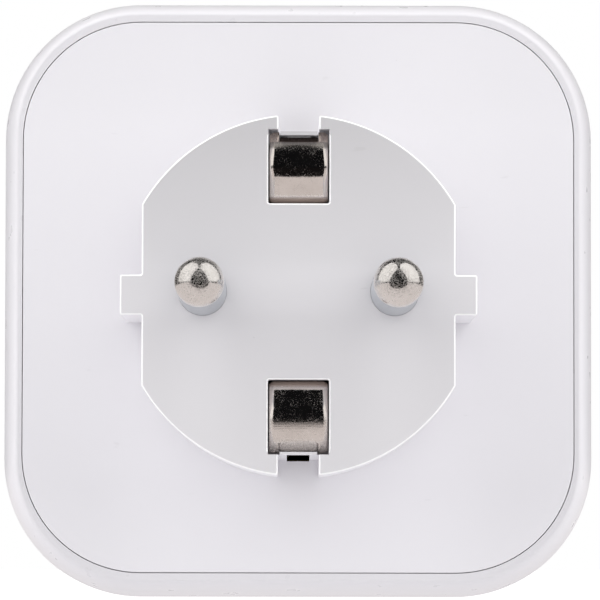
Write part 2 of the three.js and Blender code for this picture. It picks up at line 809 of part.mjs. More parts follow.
place('x_capacitor', 'capBox', prismY(roundedRect(8.6, 3.2, 0.8, -22.9, 2), PART_Y, PART_Y + 12.5));

function electrolytic() {
  return turned([
    [0, PART_Y],
    [3.6, PART_Y],
    [4, PART_Y + 0.4],
    [4, PART_Y + 1],
    [3.7, PART_Y + 1.4],
    [4, PART_Y + 1.8],
    [4, PART_Y + 14.6],
    [3.6, PART_Y + 15],
    [0, PART_Y + 15],
  ], 24);
}

const can = place('electrolytic_capacitor', 'capCan', electrolytic());
can.position.set(19.4, 0, -18.6);

function varistor() {
  const disc = new THREE.CylinderGeometry(5, 5, 3.6, 24);
  disc.rotateX(Math.PI / 2).translate(-18.6, PART_Y + 6.2, 17.2);
  const legs = [-20.4, -16.8].map((x) => box(x - 0.35, x + 0.35, PART_Y, PART_Y + 3, 16.8, 17.5));
  return combine([disc, ...legs]);
}

place('varistor', 'blueDisc', varistor());

function fuse() {
  const tube = new THREE.CylinderGeometry(2.4, 2.4, 10.4, 20).rotateZ(Math.PI / 2);
  tube.translate(18.4, PART_Y + 2.9, 17.4);
  const caps = [13.6, 22.2].map((x) => {
    const cap = new THREE.CylinderGeometry(2.7, 2.7, 2.2, 20).rotateZ(Math.PI / 2);
    return cap.translate(x, PART_Y + 2.9, 17.4);
  });
  return combine([tube, ...caps]);
}

place('fuse', 'capBox', fuse());

function cellHolder() {
  const ring = turned([
    [6.2, PART_Y],
    [7, PART_Y],
    [7, PART_Y + 4.2],
    [6.2, PART_Y + 4.2],
    [6.2, PART_Y],
  ], 28);
  const base = cylinderY(0, 0, 7, PART_Y, PART_Y + 0.7, 28);
  const mouth = box(-2, 2, PART_Y + 1, PART_Y + 5, -8, -5);
  return combine([ring, base], [mouth]);
}

const CELL = { x: -17.6, z: -17 };
const holder = place('cell_holder', 'innerPlastic', cellHolder());
holder.position.set(CELL.x, 0, CELL.z);
const cell = place('coin_cell', 'steel', cylinderY(0, 0, 5.9, PART_Y + 1, PART_Y + 4, 28));
cell.position.set(CELL.x, 0, CELL.z);

// Flat flex between the main board and the display board.
function ribbonLink() {
  const line = [
    [PART_Y + 0.2, 22.3],
    [PART_Y + 2.6, 22.3],
    [PART_Y + 3.6, 22.6],
    [PART_Y + 4.6, 23.3],
    [PART_Y + 6, 23.5],
    [PART_Y + 8.6, 23.5],
  ];
  return combine([prismX(stripOutline(line, 0.4), -6, 6)]);
}

place('ribbon_link', 'rubber', ribbonLink());

// Display in the top wall ------------------------------------------------------

const displayBoardTop = DISPLAY_BOARD_Z + DISPLAY_BOARD_THICKNESS;
place('display_board', 'board', box(-15.6, 15.6, 27.4, 56.4, DISPLAY_BOARD_Z, displayBoardTop));

const lensBottom = TOP_Z - LENS.thickness - 0.1;
place('display_window', 'lens', prismZ(lensOutline(0), lensBottom, TOP_Z - 0.1));

const LCD = { halfWidth: 13.2, y0: 29.4, y1: 44, z0: 26.5, z1: 28.4 };
place('lcd_panel', 'lcd', box(-LCD.halfWidth, LCD.halfWidth, LCD.y0, LCD.y1, LCD.z0, LCD.z1));

function lcdFrame() {
  const outer = box(-14.6, 14.6, 28, 45.4, displayBoardTop + 0.2, 29.1 - 0.3);
  const pocket = box(-13.5, 13.5, 29.1, 44.3, displayBoardTop - 1, 28.55);
  const opening = box(-12.2, 12.2, 30.4, 43, 24, 31);
  return combine([outer], [pocket, opening]);
}

place('lcd_frame', 'innerPlastic', lcdFrame());
const zebraTop = LCD.z0 - 0.1;
place('zebra_rear', 'rubber', box(-12, 12, 29.6, 31, displayBoardTop + 0.1, zebraTop));
place('zebra_front', 'rubber', box(-12, 12, 42.4, 43.8, displayBoardTop + 0.1, zebraTop));

// Keys: flush caps with a flange under the wall and a stem into each switch
function keyCap() {
  const innerWall = TOP_WALL_INNER;
  return turned([
    [0, 26.9],
    [0.9, 26.9],
    [0.9, innerWall - 1.1],
    [3.5, innerWall - 1.1],
    [3.5, innerWall - 0.25],
    [KEY_RADIUS, innerWall - 0.25],
    [KEY_RADIUS, TOP_Z - 0.45],
    [KEY_RADIUS - 0.3, TOP_Z - 0.15],
    [0, TOP_Z - 0.3],
  ], 28);
}

function keySwitch() {
  const body = box(-2.2, 2.2, -2.2, 2.2, displayBoardTop + 0.1, 26.75);
  const collar = cylinderZ(0, 0, 1.7, 26.5, 26.95, 18);
  const well = cylinderZ(0, 0, 1.15, 26.15, 28, 18);
  return combine([body, collar], [well]);
}

for (const [name, x] of [['mode', -KEY_SPACING], ['set', 0], ['reset', KEY_SPACING]]) {
  const cap = place(`key_${name}`, 'keyGrey', keyCap().rotateX(Math.PI / 2));
  cap.position.set(x, KEY_Y, 0);
  const tact = place(`switch_${name}`, 'black', keySwitch());
  tact.position.set(x, KEY_Y, 0);
}

export default group;
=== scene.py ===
"""Looks for the plug-in power meter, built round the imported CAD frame."""

import math

import bmesh
import bpy
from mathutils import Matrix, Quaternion, Vector


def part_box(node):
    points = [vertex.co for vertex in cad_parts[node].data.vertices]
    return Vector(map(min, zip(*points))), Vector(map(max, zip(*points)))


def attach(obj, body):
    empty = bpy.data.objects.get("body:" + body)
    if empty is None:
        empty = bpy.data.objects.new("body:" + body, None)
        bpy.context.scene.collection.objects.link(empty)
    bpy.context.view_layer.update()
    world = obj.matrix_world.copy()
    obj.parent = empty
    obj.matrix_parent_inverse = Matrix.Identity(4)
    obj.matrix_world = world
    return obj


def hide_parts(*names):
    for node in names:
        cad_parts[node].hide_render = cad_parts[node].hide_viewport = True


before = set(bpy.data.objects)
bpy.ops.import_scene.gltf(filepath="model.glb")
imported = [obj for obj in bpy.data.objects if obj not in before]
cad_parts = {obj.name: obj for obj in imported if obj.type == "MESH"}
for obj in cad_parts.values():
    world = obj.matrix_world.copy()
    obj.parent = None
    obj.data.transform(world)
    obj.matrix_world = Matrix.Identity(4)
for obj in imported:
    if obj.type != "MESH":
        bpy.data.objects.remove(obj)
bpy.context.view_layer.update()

MM = 0.001
ROOT = "housing"


def node_box(name):
    """A CAD node's lowest and highest corners in millimetres."""
    low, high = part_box(name)
    return Vector(low) / MM, Vector(high) / MM


# ---------------------------------------------------------------- dimensions
SHELL_LOW, SHELL_HIGH = node_box("housing_shell")
COVER_LOW, COVER_HIGH = node_box("rear_cover")
PIN_LOW, PIN_HIGH = node_box("neutral_pin")
CUP_LOW, CUP_HIGH = node_box("socket_cup")
LENS_LOW, LENS_HIGH = node_box("display_window")
LCD_LOW, LCD_HIGH = node_box("lcd_panel")

BODY_HALF_X = (SHELL_HIGH.x - SHELL_LOW.x) / 2
BODY_HALF_Z = (SHELL_HIGH.z - SHELL_LOW.z) / 2
BODY_Z = (SHELL_HIGH.z + SHELL_LOW.z) / 2
REAR_Y = SHELL_LOW.y
FRONT_Y = SHELL_HIGH.y
TOP_Z = SHELL_HIGH.z
FACE_Y = COVER_LOW.y
BODY_CORNER = 14.2
SWEEP_DEPTH = 10.0
SWEEP_INSET = 1.9
FRONT_FILLET = 4.0
COVER_HALF = (COVER_HIGH.x - COVER_LOW.x) / 2
COVER_CORNER = 12.0
COVER_THICKNESS = 2.2
COVER_GAP = 0.15
COVER_SWELL = 0.07
CAVITY_HALF_X = 27.4
CAVITY_HALF_Z = 27.65
CAVITY_CORNER = 11.4
ROOF_THICKNESS = 3.12
BOSS_RADIUS = 17.9
BOSS_FLAT = 15.5
BOSS_EDGE = 0.19
BOSS_DROP = 0.35
RIB_REACH = 17.65
RIB_HALF = 1.98
NOTCH_HALF = 2.03
NOTCH_FLOOR = {1: 15.85, -1: 16.08}
NOTCH_DRAFT = 0.3
NOTCH_INNER = 14.85
SLOT_HALF = 1.15
SLOT_START = 2.4
WINDOW_HALF = 3.02
WINDOW_INNER = 8.72
WINDOW_OUTER = {1: 15.5, -1: 15.85}
WINDOW_CORNER = 16.1
WINDOW_DEPTH = 4.2
TONGUE_HALF = 1.85
PIN_X = (PIN_LOW.x + PIN_HIGH.x) / 2
PIN_RADIUS = 2.4
RECESS_RADIUS = 19.5
CUP_FLOOR_Y = FRONT_Y - 17.5
CUP_FLANGE = (CUP_HIGH.x - CUP_LOW.x) / 2
SOCKET_HOLE = 3.1
CUP_SCREW = (10.5, 13.3)


# ------------------------------------------------------------- mesh building
def turn_faces_out(mesh):
    bm = bmesh.new()
    bm.from_mesh(mesh)
    bmesh.ops.recalc_face_normals(bm, faces=bm.faces)
    bm.to_mesh(mesh)
    bm.free()


def mirror_z(obj):
    for vertex in obj.data.vertices:
        vertex.co.z = -vertex.co.z
    turn_faces_out(obj.data)


def make_object(name, verts, faces):
    """Mesh object from millimetre vertices, with its faces turned outwards."""
    mesh = bpy.data.meshes.new(name)
    mesh.from_pydata([[c * MM for c in v] for v in verts], [], faces)
    turn_faces_out(mesh)
    obj = bpy.data.objects.new(name, mesh)
    bpy.context.scene.collection.objects.link(obj)
    return obj


def loft(name, loops):
    """Closed skin through loops of equal length, capped at both ends."""
    count = len(loops[0])
    verts = [p for loop in loops for p in loop]
    faces = []
    for s in range(len(loops) - 1):
        for i in range(count):
            a, b = s * count + i, s * count + (i + 1) % count
            faces.append((a, b, b + count, a + count))
    last = (len(loops) - 1) * count
    faces.append(tuple(range(count - 1, -1, -1)))
    faces.append(tuple(range(last, last + count)))
    return make_object(name, verts, faces)


def prism_y(name, outline, y0, y1):
    return loft(name, [[(x, y, z) for x, z in outline] for y in (y0, y1)])


def prism_z(name, outline, z0, z1):
    return loft(name, [[(x, y, z) for x, y in outline] for z in (z0, z1)])


def block(name, low, high):
    (x0, y0, z0), (x1, y1, z1) = low, high
    outline = [(x0, z0), (x1, z0), (x1, z1), (x0, z1)]
    return prism_y(name, outline, y0, y1)


def circle(radius, cx=0.0, cy=0.0, count=48):
    step = 2 * math.pi / count
    return [(cx + radius * math.cos(i * step), cy + radius * math.sin(i * step)) for i in range(count)]


def rounded_rect(half_x, half_z, radius, cz=0.0, steps=16):
    points = []
    corners = [(1, 1, 0), (-1, 1, 90), (-1, -1, 180), (1, -1, 270)]
    for sx, sz, start in corners:
        for i in range(steps + 1):
            a = math.radians(start + 90 * i / steps)
            x = sx * (half_x - radius) + radius * math.cos(a)
            z = cz + sz * (half_z - radius) + radius * math.sin(a)
            points.append((x, z))
    return points


def lathe(name, profile, cx=0.0, cz=0.0, count=64):
    """Solid of a [radius, y] profile turned about a line along Y."""
    verts, faces, rings = [], [], []
    for radius, y in profile:
        if radius < 1e-6:
            rings.append([len(verts)])
            verts.append((cx, y, cz))
        else:
            rings.append(list(range(len(verts), len(verts) + count)))
            for x, z in circle(radius, cx, cz, count):
                verts.append((x, y, z))
    for a, b in zip(rings, rings[1:]):
        for i in range(count):
            j = (i + 1) % count
            if len(a) == 1:
                faces.append((a[0], b[i], b[j]))
            elif len(b) == 1:
                faces.append((a[i], b[0], a[j]))
            else:
                faces.append((a[i], b[i], b[j], a[j]))
    return make_object(name, verts, faces)


def apply_modifiers(obj):
    graph = bpy.context.evaluated_depsgraph_get()
    mesh = bpy.data.meshes.new_from_object(obj.evaluated_get(graph), depsgraph=graph)
    obj.modifiers.clear()
    old = obj.data
    obj.data = mesh
    bpy.data.meshes.remove(old)
    return obj


def boolean(obj, others, operation="DIFFERENCE"):
    for other in others:
        mod = obj.modifiers.new("cut", "BOOLEAN")
        mod.operation = operation
        mod.solver = "EXACT"
        mod.object = other
    apply_modifiers(obj)
    for other in others:
        mesh = other.data
        bpy.data.objects.remove(other)
        bpy.data.meshes.remove(mesh)
    return obj


def soften(obj, width, angle=40, segments=3):
    """Rounds every edge sharper than the angle by the width in millimetres."""
    mod = obj.modifiers.new("round", "BEVEL")
    mod.width = width * MM
    mod.segments = segments
    mod.limit_method = "ANGLE"
    mod.angle_limit = math.radians(angle)
    mod.miter_outer = "MITER_ARC"
    return apply_modifiers(obj)


def finish_shading(obj, angle=30, weighted=True):
    mesh = obj.data
    mesh.polygons.foreach_set("use_smooth", [True] * len(mesh.polygons))
    mesh.set_sharp_from_angle(angle=math.radians(angle))
    mesh.update()
    if weighted:
        mod = obj.modifiers.new("normals", "WEIGHTED_NORMAL")
        mod.keep_sharp = True
        mod.weight = 80
    return obj


def install(obj, material, nodes=(), body=ROOT, angle=30, weighted=True):
    """Shades a finished piece, gives it its material and rides it on a body."""
    obj.data.materials.clear()
    obj.data.materials.append(material)
    finish_shading(obj, angle, weighted)
    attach(obj, body)
    if nodes:
        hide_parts(*nodes)
    return obj


def strip(name, path, half_width, thickness, edge, steps=7):
    """Bent strip along a (y, z) path, its outer side to the left of travel.

    The outer long edges are rolled over a width of edge and about half
    that height, nearly as flat as a chamfer; the inner ones are nearly sharp.
    """
    corners = [(1, 1, edge, 0), (-1, 1, edge, 90), (-1, -1, 0.08, 180), (1, -1, 0.08, 270)]
    section = []
    for side, lift, roll, start in corners:
        drop, power = (roll * 0.56, 1.5) if lift > 0 else (roll, 1.0)
        for k in range(steps + 1):
            a = math.radians(start + 90 * k / steps)
            across = roll * (abs(math.cos(a)) ** power)
            rise = drop * (abs(math.sin(a)) ** power)
            section.append((side * (half_width - roll + across), lift * (thickness / 2 - drop + rise)))
    loops = []
    for i, (y, z) in enumerate(path):
        ya, za = path[max(i - 1, 0)]
        yb, zb = path[min(i + 1, len(path) - 1)]
        along = Vector((yb - ya, zb - za)).normalized()
        loops.append([(x, y - along.y * h, z + along.x * h) for x, h in section])
    return loft(name, loops)


def smooth_path(points, per_step=6):
    """Catmull-Rom curve through the points."""
    out = []
    for i in range(len(points) - 1):
        p0 = Vector(points[max(i - 1, 0)])
        p1, p2 = Vector(points[i]), Vector(points[i + 1])
        p3 = Vector(points[min(i + 2, len(points) - 1)])
        for k in range(per_step):
            t = k / per_step
            a = 2 * p1 + (p2 - p0) * t
            b = (2 * p0 - 5 * p1 + 4 * p2 - p3) * t * t
            c = (3 * p1 - p0 - 3 * p2 + p3) * t ** 3
            out.append(tuple((a + b + c) / 2))
    out.append(tuple(points[-1]))
    return out


# ----------------------------------------------------------------- materials
class Graph:
    """Small wrapper round a material's node tree."""

    def __init__(self, name):
        self.material = bpy.data.materials.new(name)
        self.material.use_nodes = True
        self.tree = self.material.node_tree
        self.bsdf = next(n for n in self.tree.nodes if n.type == "BSDF_PRINCIPLED")
        self.coords = self.tree.nodes.new("ShaderNodeTexCoord").outputs["Object"]

    def node(self, kind, inputs=None, **props):
        node = self.tree.nodes.new(kind)
        for key, value in props.items():
            setattr(node, key, value)
        for key, value in (inputs or {}).items():
            if isinstance(value, bpy.types.NodeSocket):
                self.tree.links.new(value, node.inputs[key])
            else:
                node.inputs[key].default_value = value
        return node

    def noise(self, scale_per_mm, detail=3.0, roughness=0.5, stretch=None):
        vector = self.coords
        if stretch:
            mapping = self.node("ShaderNodeMapping", {"Vector": vector, "Scale": stretch})
            vector = mapping.outputs["Vector"]
        inputs = {
            "Vector": vector,
            "Scale": scale_per_mm / MM,
            "Detail": detail,
            "Roughness": roughness,
        }
        return self.node("ShaderNodeTexNoise", inputs).outputs["Fac"]

    def voronoi(self, scale_per_mm):
        inputs = {"Vector": self.coords, "Scale": scale_per_mm / MM, "Randomness": 1.0}
        return self.node("ShaderNodeTexVoronoi", inputs).outputs["Distance"]

    def axes(self):
        split = self.node("ShaderNodeSeparateXYZ", {"Vector": self.coords})
        return [split.outputs[axis] for axis in "XYZ"]

    def ramp(self, value, stops):
        node = self.node("ShaderNodeValToRGB", {"Fac": value})
        ramp = node.color_ramp
        while len(ramp.elements) < len(stops):
            ramp.elements.new(0.5)
        for element, (place, colour) in zip(ramp.elements, stops):
            element.position = place
            element.color = (*colour, 1) if len(colour) == 3 else colour
        return node.outputs["Color"]

    def range(self, value, low, high, to_low, to_high):
        inputs = {"Value": value, "From Min": low, "From Max": high, "To Min": to_low, "To Max": to_high}
        return self.node("ShaderNodeMapRange", inputs).outputs["Result"]

    def mix(self, factor, a, b):
        node = self.node("ShaderNodeMix", data_type="RGBA")
        for socket, value in ((node.inputs[0], factor), (node.inputs[6], a), (node.inputs[7], b)):
            if isinstance(value, bpy.types.NodeSocket):
                self.tree.links.new(value, socket)
            else:
                socket.default_value = value if isinstance(value, (int, float)) else (*value, 1)
        return node.outputs[2]

    def math(self, operation, a, b=0.0):
        node = self.node("ShaderNodeMath", operation=operation)
        for socket, value in ((node.inputs[0], a), (node.inputs[1], b)):
            if isinstance(value, bpy.types.NodeSocket):
                self.tree.links.new(value, socket)
            else:
                socket.default_value = value
        return node.outputs[0]

    def multiply(self, a, b):
        node = self.node("ShaderNodeMix", data_type="RGBA", blend_type="MULTIPLY")
        node.inputs[0].default_value = 1.0
        self.tree.links.new(a, node.inputs[6])
        self.tree.links.new(b, node.inputs[7])
        return node.outputs[2]

    def bump(self, height, distance_mm, strength=1.0, normal=None):
        inputs = {"Height": height, "Strength": strength, "Distance": distance_mm * MM}
        if normal:
            inputs["Normal"] = normal
        return self.node("ShaderNodeBump", inputs).outputs["Normal"]

    def connect(self, **sockets):
        for key, value in sockets.items():
            name = key.replace("_", " ")
            if isinstance(value, bpy.types.NodeSocket):
                self.tree.links.new(value, self.bsdf.inputs[name])
            else:
                self.bsdf.inputs[name].default_value = value
        return self


def moulded_plastic(name, light, dark, roughness, marks=0.05, grain=0.004):
    """Satin moulded plastic: soft tone drift, fine grain and a few dust marks."""
    g = Graph(name)
    drift = g.noise(0.03, 2.0)
    tone = g.ramp(drift, [(0.3, dark), (0.7, light)])
    specks = g.voronoi(0.35)
    patches = g.noise(0.06, 1.0)
    speck_mask = g.math("LESS_THAN", specks, 0.035)
    patch_mask = g.range(patches, 0.52, 0.62, 0.0, marks)
    mask = g.math("MULTIPLY", speck_mask, patch_mask)
    scratch = g.noise(1.0, 2.0, 0.6, stretch=(0.25, 1.0, 0.9))
    scratch_mask = g.range(scratch, 0.72, 0.76, 0.0, marks * 0.6)
    mask = g.math("MAXIMUM", mask, scratch_mask)
    g.colour = g.mix(mask, tone, (0.3, 0.28, 0.27))
    rough = g.range(g.noise(0.5, 3.0), 0.3, 0.7, roughness - 0.03, roughness + 0.04)
    grain_height = g.noise(9.0, 2.0)
    wave = g.noise(0.12, 1.0)
    normal = g.bump(wave, 0.02, 0.25)
    normal = g.bump(grain_height, grain, 0.35, normal)
    g.connect(Base_Color=g.colour, Roughness=rough, Normal=normal)
    g.bsdf.inputs["IOR"].default_value = 1.5
    return g


def paint_boss_shade_and_edge_highlight(g):
    """Paints shade into the boss's end face, darker towards the top left, and a painted highlight, near
    white, on the fillet round its edge.
    """
    x, y, z = g.axes()
    on_face = g.range(y, (FACE_Y + 0.004) * MM, (FACE_Y + 0.012) * MM, 1.0, 0.0)
    shade_slant = g.math("SUBTRACT", g.math("MULTIPLY", x, 0.12), z)
    place = g.range(shade_slant, -17 * MM, 13 * MM, 0.0, 1.0)
    # Painted shade: the end face is darkened, most towards the top left.
    stops = [(0.0, 0.715), (0.13, 0.765), (0.53, 0.905), (1.0, 0.865)]
    painted_face_shade = g.ramp(place, [(at, (v, v * 0.996, v * 0.985)) for at, v in stops])
    # Painted highlight: the fillet round the face's edge is painted near white.
    edge_highlight_mask = g.range(y, (FACE_Y + BOSS_EDGE) * MM, (FACE_Y + BOSS_EDGE + 0.02) * MM, 1.0, 0.0)
    colour = g.mix(edge_highlight_mask, g.colour, (0.985, 0.985, 0.985))
    g.connect(Base_Color=g.mix(on_face, colour, g.multiply(g.colour, painted_face_shade)))
    return g


def plated_metal(name, light, dark, roughness, wave, frost, cover=0.56, grain=7.5):
    """Plated metal: tone patches, a gentle wave and fine frosted specks.

    frost is how rough the specks are and cover the noise level they start
    at, so a lower one gives more of them.
    """
    g = Graph(name)
    patch = g.noise(0.5, 3.0)
    g.colour = g.ramp(patch, [(0.3, dark), (0.7, light)])
    fine = g.range(g.noise(7.0, 3.0, 0.6), 0.3, 0.75, roughness, roughness + 0.04)
    speck = g.range(g.noise(grain, 2.0, 0.75), cover, cover + 0.07, 0.0, 1.0)
    gate = g.range(g.noise(0.9, 2.0), 0.35, 0.6, 0.4, 1.0)
    frosted = g.math("MULTIPLY", g.math("MULTIPLY", speck, gate), frost)
    g.rough = g.math("ADD", fine, frosted)
    g.normal = g.bump(g.noise(3.5, 3.0, 0.6), wave, 1.0)
    g.connect(Base_Color=g.colour, Roughness=g.rough, Metallic=1.0, Normal=g.normal)
    return g


def paint_clip_shade_and_rubbing(g):
    """Painted shade at the lip, painted reflections on the shoulders and the upper bend, painted shade
    where that bend meets the neck, and rubbing on the lower dome.
    """
    x, _, z = g.axes()
    height = g.math("ABSOLUTE", z)
    lip_shade = g.range(height, 9.2 * MM, 9.5 * MM, 1.0, 0.0)
    shoulder_reflection = g.range(z, 14.1 * MM, 14.35 * MM, 0.0, 1.0)
    bend_reflection = g.range(z, 14.78 * MM, 14.88 * MM, 0.0, 1.0)
    # Painted shade: the lip, which faces the table, is painted dark brown and made less metallic.
    colour = g.mix(lip_shade, g.colour, (0.36, 0.285, 0.245))
    metallic = g.range(lip_shade, 0.0, 1.0, 1.0, 0.3)
    # Painted reflection: a warm grey band across the shoulders.
    colour = g.mix(shoulder_reflection, colour, (0.34, 0.315, 0.295))
    on_neck = g.range(g.math("ABSOLUTE", x), 1.88 * MM, 1.96 * MM, 1.0, 0.0)
    # Painted reflection on the upper bend, and painted shade, near black, where it runs into the neck.
    colour = g.mix(bend_reflection, colour, (0.6, 0.52, 0.47))
    colour = g.mix(g.math("MULTIPLY", bend_reflection, on_neck), colour, (0.075, 0.057, 0.05))
    rubbed = g.range(z, -13.2 * MM, -11.9 * MM, 1.0, 0.0)
    lay = g.noise(1.0, 3.0, 0.6, stretch=(0.3, 8.0, 8.0))
    normal = g.bump(g.math("MULTIPLY", lay, rubbed), 0.025, 1.0, g.normal)
    hazed = g.range(z, 13.8 * MM, 14.6 * MM, 0.0, 0.14)
    rough = g.math("ADD", g.rough, g.math("ADD", hazed, g.math("MULTIPLY", rubbed, 0.16)))
    rough = g.math("MAXIMUM", rough, g.math("MULTIPLY", lip_shade, 0.35))
    g.connect(Base_Color=colour, Metallic=metallic, Roughness=rough, Normal=normal)
    return g


def dull_shaft(g):
    """The pins are polished at the tip only; the shaft behind it is matt grey."""
    _, y, _ = g.axes()
    start = (PIN_LOW.y + PIN_RADIUS) * MM
    shaft = g.range(y, start - 0.05 * MM, start + 0.05 * MM, 0.0, 1.0)
    metallic = g.range(shaft, 0.0, 1.0, 1.0, 0.1)
    rough = g.math("MAXIMUM", g.rough, g.math("MULTIPLY", shaft, 0.5))
    colour = g.mix(shaft, g.colour, (0.4, 0.415, 0.445))
    g.connect(Base_Color=colour, Metallic=metallic, Roughness=rough)
    return g


white_shell = moulded_plastic("shell_plastic", (0.76, 0.75, 0.775), (0.74, 0.73, 0.755), 0.3)
white_cover = paint_boss_shade_and_edge_highlight(
    moulded_plastic("cover_plastic", (0.825, 0.815, 0.842), (0.805, 0.795, 0.822), 0.33, marks=0.12)
)
white_socket = moulded_plastic("socket_plastic", (0.82, 0.82, 0.835), (0.80, 0.80, 0.815), 0.36)
inner_plastic = moulded_plastic("inner_plastic", (0.62, 0.63, 0.64), (0.57, 0.58, 0.59), 0.5, grain=0.01)
key_plastic = moulded_plastic("key_plastic", (0.42, 0.43, 0.45), (0.38, 0.39, 0.41), 0.42, grain=0.01)
black_plastic = moulded_plastic(
    "black_plastic", (0.035, 0.035, 0.038), (0.022, 0.022, 0.024), 0.5, grain=0.012
)
ochre_plastic = moulded_plastic("ochre_epoxy", (0.52, 0.34, 0.08), (0.44, 0.28, 0.06), 0.45, grain=0.012)
blue_plastic = moulded_plastic("blue_coating", (0.05, 0.13, 0.34), (0.035, 0.1, 0.27), 0.35, grain=0.01)
rubber = moulded_plastic("rubber", (0.05, 0.05, 0.052), (0.03, 0.03, 0.032), 0.8, grain=0.02)
pin_plating = plated_metal(
    "pin_nickel", (0.86, 0.83, 0.81), (0.81, 0.78, 0.755), 0.045, 0.002, 0.6, cover=0.47, grain=9.0
)
nickel_pin = dull_shaft(pin_plating)
clip_plating = plated_metal("clip_nickel", (0.8, 0.75, 0.715), (0.73, 0.68, 0.645), 0.06, 0.004, 0.25)
nickel_clip = paint_clip_shade_and_rubbing(clip_plating)
nickel_spring = plated_metal("spring_nickel", (0.78, 0.74, 0.71), (0.70, 0.66, 0.63), 0.12, 0.006, 0.2)
brass = plated_metal("brass", (0.72, 0.55, 0.26), (0.64, 0.47, 0.2), 0.28, 0.006, 0.1)
steel = plated_metal("zinc_steel", (0.62, 0.62, 0.62), (0.52, 0.52, 0.53), 0.3, 0.008, 0.1)
manganin = plated_metal("manganin", (0.46, 0.36, 0.28), (0.38, 0.29, 0.22), 0.35, 0.006, 0.1)


def board_material():
    g = Graph("solder_mask")
    weave = g.node(
        "ShaderNodeTexBrick",
        {
            "Vector": g.coords,
            "Color1": (0.018, 0.12, 0.06, 1),
            "Color2": (0.022, 0.14, 0.07, 1),
            "Mortar": (0.03, 0.2, 0.1, 1),
            "Scale": 0.4 / MM,
            "Mortar Size": 0.05,
        },
    ).outputs["Color"]
    rough = g.range(g.noise(0.8), 0.3, 0.7, 0.3, 0.42)
    normal = g.bump(g.noise(2.5, 2.0), 0.01, 0.4)
    g.connect(Base_Color=weave, Roughness=rough, Normal=normal)
    return g.material


def lens_material():
    g = Graph("clear_lens")
    rough = g.range(g.noise(0.4), 0.3, 0.7, 0.02, 0.05)
    colour = g.ramp(g.noise(0.1), [(0.3, (0.93, 0.95, 0.95)), (0.7, (0.97, 0.98, 0.98))])
    g.connect(Base_Color=colour, Roughness=rough)
    g.bsdf.inputs["Transmission Weight"].default_value = 1.0
    g.bsdf.inputs["IOR"].default_value = 1.3
    return g.material


def lcd_material(name, low, high, roughness):
    g = Graph(name)
    colour = g.ramp(g.noise(0.08, 2.0), [(0.35, low), (0.65, high)])
    grid = g.node(
        "ShaderNodeTexChecker",
        {"Vector": g.coords, "Scale": 8.0 / MM, "Color1": (1, 1, 1, 1), "Color2": (0.94, 0.94, 0.94, 1)},
    ).outputs["Color"]
    rough = g.range(g.noise(1.0), 0.3, 0.7, roughness, roughness + 0.06)
    g.connect(Base_Color=g.multiply(colour, grid), Roughness=rough)
    return g.material


board_green = board_material()
clear_lens = lens_material()
lcd_back = lcd_material("lcd_background", (0.36, 0.4, 0.34), (0.4, 0.44, 0.38), 0.18)
lcd_segment = lcd_material("lcd_segments", (0.2, 0.225, 0.19), (0.23, 0.255, 0.215), 0.25)


# ------------------------------------------------------------- housing shell
def body_loop(y, inset):
    outline = rounded_rect(
        BODY_HALF_X - inset, BODY_HALF_Z - inset, BODY_CORNER - inset, BODY_Z, steps=24
    )
    return [(x, y, z) for x, z in outline]


def build_shell():
    loops = []
    for i in range(19):
        a = math.pi / 2 * i / 18
        y = REAR_Y + SWEEP_DEPTH * (1 - math.cos(a))
        loops.append(body_loop(y, SWEEP_INSET * (1 - math.sin(a))))
    for i in range(13):
        a = math.pi / 2 * i / 12
        y = FRONT_Y - FRONT_FILLET * (1 - math.sin(a))
        loops.append(body_loop(y, FRONT_FILLET * (1 - math.cos(a))))
    shell = loft("shell", loops)
    top_hole = rounded_rect(
        LENS_HIGH.x + 0.2, (LENS_HIGH.y - LENS_LOW.y) / 2 + 0.2, 1.8, (LENS_HIGH.y + LENS_LOW.y) / 2, 8
    )
    view_hole = rounded_rect(
        LENS_HIGH.x - 1.2, (LENS_HIGH.y - LENS_LOW.y) / 2 - 1.2, 0.8, (LENS_HIGH.y + LENS_LOW.y) / 2, 6
    )
    cuts = [
        prism_y("c", circle(CUP_FLANGE - 1.9, count=96), FRONT_Y - 6, FRONT_Y + 1),
        prism_y("c", circle(CUP_FLANGE + 0.25, count=96), FRONT_Y - 1.2, FRONT_Y + 1),
        prism_z("c", top_hole, LENS_LOW.z - 0.2, TOP_Z + 1),
        prism_z("c", view_hole, TOP_Z - 4, TOP_Z + 1),
    ]
    for name in ("key_mode", "key_set", "key_reset"):
        low, high = node_box(name)
        cx, cy = (low.x + high.x) / 2, (low.y + high.y) / 2
        cuts.append(prism_z("c", circle(3.15, cx, cy), TOP_Z - 4, TOP_Z + 1))
    boolean(shell, cuts)
    soften(shell, 0.22, angle=50)
    rebate = rounded_rect(
        COVER_HALF + COVER_GAP, COVER_HALF + COVER_GAP, COVER_CORNER + COVER_GAP, BODY_Z, 24
    )
    inside = rounded_rect(CAVITY_HALF_X, CAVITY_HALF_Z, CAVITY_CORNER, BODY_Z, 16)
    low_top = TOP_Z - ROOF_THICKNESS
    cavity = [
        prism_y("c", rebate, REAR_Y - 1, REAR_Y + COVER_THICKNESS + 0.3),
        prism_y("c", inside, REAR_Y + 1, FRONT_Y - 2.1),
        block("c", (-16.2, 26.8, low_top - 5), (16.2, FRONT_Y - FRONT_FILLET, TOP_Z - 2)),
    ]
    boolean(shell, cavity)
    soften(shell, 0.05, angle=60, segments=2)
    return install(shell, white_shell.material, ["housing_shell"])


build_shell()


# ------------------------------------------------- rear cover and plug boss
def arc(radius, start, end, steps):
    points = []
    for i in range(steps + 1):
        a = start + (end - start) * i / steps
        points.append((radius * math.cos(a), radius * math.sin(a)))
    return points


